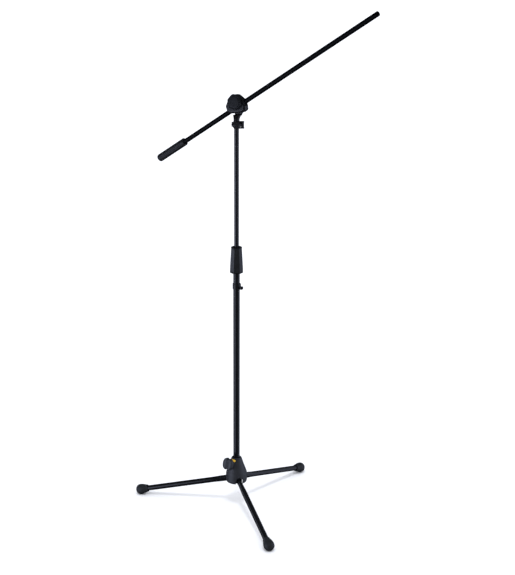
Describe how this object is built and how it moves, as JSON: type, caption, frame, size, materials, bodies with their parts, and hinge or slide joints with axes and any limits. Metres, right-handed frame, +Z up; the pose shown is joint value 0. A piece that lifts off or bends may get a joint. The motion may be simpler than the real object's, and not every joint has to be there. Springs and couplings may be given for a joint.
{
  "type": "boom microphone stand",
  "caption": "Folding tripod microphone stand with a telescopic pole and a tilting, sliding boom that ends in a microphone clip thread.",
  "frame": {"origin": "on the floor, on the pole's axis", "axes": "+Z up along the pole; +X level, the way the boom points; the boom tilts about an axis along Y"},
  "size_m": [0.8489, 0.6037, 1.7093],
  "materials": {
    "hub_plastic": "satin dark grey moulding with a fine grain",
    "ring_plastic": "satin black moulding",
    "knob_plastic": "satin dark grey",
    "yellow_plastic": "satin yellow",
    "black_tube": "semi-gloss black powder coat",
    "cast_head": "satin dark grey paint on a casting",
    "rubber_black": "matte black rubber",
    "grip_plastic": "fluted semi-matte black grip",
    "zinc_steel": "dark zinc plate",
    "brass_insert": "turned brass"
  },
  "bodies": {
    "hub": {"hub_housing": "hub_plastic", "hub_bushing": "ring_plastic", "clamp_shoe": "yellow_plastic", "leg_pivot_pin_1": "zinc_steel", "leg_pivot_pin_2": "zinc_steel", "leg_pivot_pin_3": "zinc_steel"},
    "leg_lock": {"leg_lock_knob": "knob_plastic", "leg_lock_screw": "zinc_steel"},
    "pole": {"lower_tube": "black_tube", "pole_stopper": "ring_plastic", "clutch_bushing": "zinc_steel", "clutch_collet": "ring_plastic"},
    "cable_clip": {"cable_clip": "ring_plastic"},
    "clutch": {"clutch_sleeve": "hub_plastic", "clutch_bottom_ring": "ring_plastic", "clutch_top_ring": "ring_plastic"},
    "upper_pole": {"upper_tube": "black_tube", "upper_tube_guide": "ring_plastic", "swivel_collar": "ring_plastic", "collar_lever_pin": "zinc_steel"},
    "lever": {"collar_lever": "ring_plastic"},
    "head": {"head_stem": "cast_head", "clamp_bolt": "zinc_steel", "friction_washer": "rubber_black"},
    "boom_clamp": {"boom_clamp_front": "cast_head", "boom_clamp_rear": "cast_head", "boom_liner_front": "ring_plastic", "boom_liner_rear": "ring_plastic", "knob_washer": "zinc_steel"},
    "knob": {"clamp_knob": "knob_plastic", "knob_insert": "brass_insert", "knob_cap": "knob_plastic"},
    "boom": {"boom_tube": "black_tube", "boom_thread_tip": "zinc_steel", "counterweight_core": "zinc_steel", "boom_handle": "grip_plastic", "handle_end_cap": "ring_plastic"},
    "leg_1": {"leg_tube_1": "black_tube", "leg_knuckle_1": "ring_plastic", "rubber_foot_1": "rubber_black"},
    "leg_2": {"leg_tube_2": "black_tube", "leg_knuckle_2": "ring_plastic", "rubber_foot_2": "rubber_black"},
    "leg_3": {"leg_tube_3": "black_tube", "leg_knuckle_3": "ring_plastic", "rubber_foot_3": "rubber_black"}
  },
  "joints": [
    {"name": "pole_slide", "type": "slide", "parent": "hub", "child": "pole", "axis": [0, 0, -1], "range_m": [0, 0.25]},
    {"name": "lock_knob_turn", "type": "hinge", "parent": "hub", "child": "leg_lock", "pos_m": [0, 0, 0.1544], "axis": [-0.1384, -0.9604, 0.2419], "continuous": true},
    {"name": "clip_turn", "type": "hinge", "parent": "pole", "child": "cable_clip", "pos_m": [0, 0, 0.801], "axis": [0, 0, 1], "continuous": true},
    {"name": "clutch_twist", "type": "hinge", "parent": "pole", "child": "clutch", "pos_m": [0, 0, 0.892], "axis": [0, 0, 1], "range_deg": [-20, 120]},
    {"name": "height_slide", "type": "slide", "parent": "pole", "child": "upper_pole", "axis": [0, 0, 1], "range_m": [-0.38, 0.05]},
    {"name": "lever_swing", "type": "hinge", "parent": "upper_pole", "child": "lever", "pos_m": [0.01611, 0.01099, 1.34175], "axis": [0, 0, -1], "range_deg": [0, 110]},
    {"name": "head_swivel", "type": "hinge", "parent": "upper_pole", "child": "head", "pos_m": [0, 0, 1.3538], "axis": [0, 0, 1], "continuous": true},
    {"name": "boom_tilt", "type": "hinge", "parent": "head", "child": "boom_clamp", "pos_m": [0.006, -0.001, 1.4167], "axis": [0, -1, 0], "range_deg": [-78, 6]},
    {"name": "clamp_knob_turn", "type": "hinge", "parent": "boom_clamp", "child": "knob", "pos_m": [0.006, -0.001, 1.4167], "axis": [0, -1, 0], "continuous": true},
    {"name": "boom_slide", "type": "slide", "parent": "boom_clamp", "child": "boom", "axis": [0.8531, 0, 0.5218], "range_m": [-0.45, 0.19]},
    {"name": "leg_fold_1", "type": "hinge", "parent": "hub", "child": "leg_1", "pos_m": [-0.02228, -0.00891, 0.09765], "axis": [0.3714, -0.9285, 0], "range_deg": [0, 75]},
    {"name": "leg_fold_2", "type": "hinge", "parent": "hub", "child": "leg_2", "pos_m": [0.00342, 0.02375, 0.09765], "axis": [-0.9898, 0.1426, 0], "range_deg": [0, 75]},
    {"name": "leg_fold_3", "type": "hinge", "parent": "hub", "child": "leg_3", "pos_m": [0.01886, -0.01484, 0.09765], "axis": [0.6184, 0.7859, 0], "range_deg": [0, 75]}
  ],
  "couplings": [
    {"joint": "leg_fold_1", "follows": "pole_slide", "rad_per_m": 5.23},
    {"joint": "leg_fold_2", "follows": "pole_slide", "rad_per_m": 5.23},
    {"joint": "leg_fold_3", "follows": "pole_slide", "rad_per_m": 5.23}
  ]
}
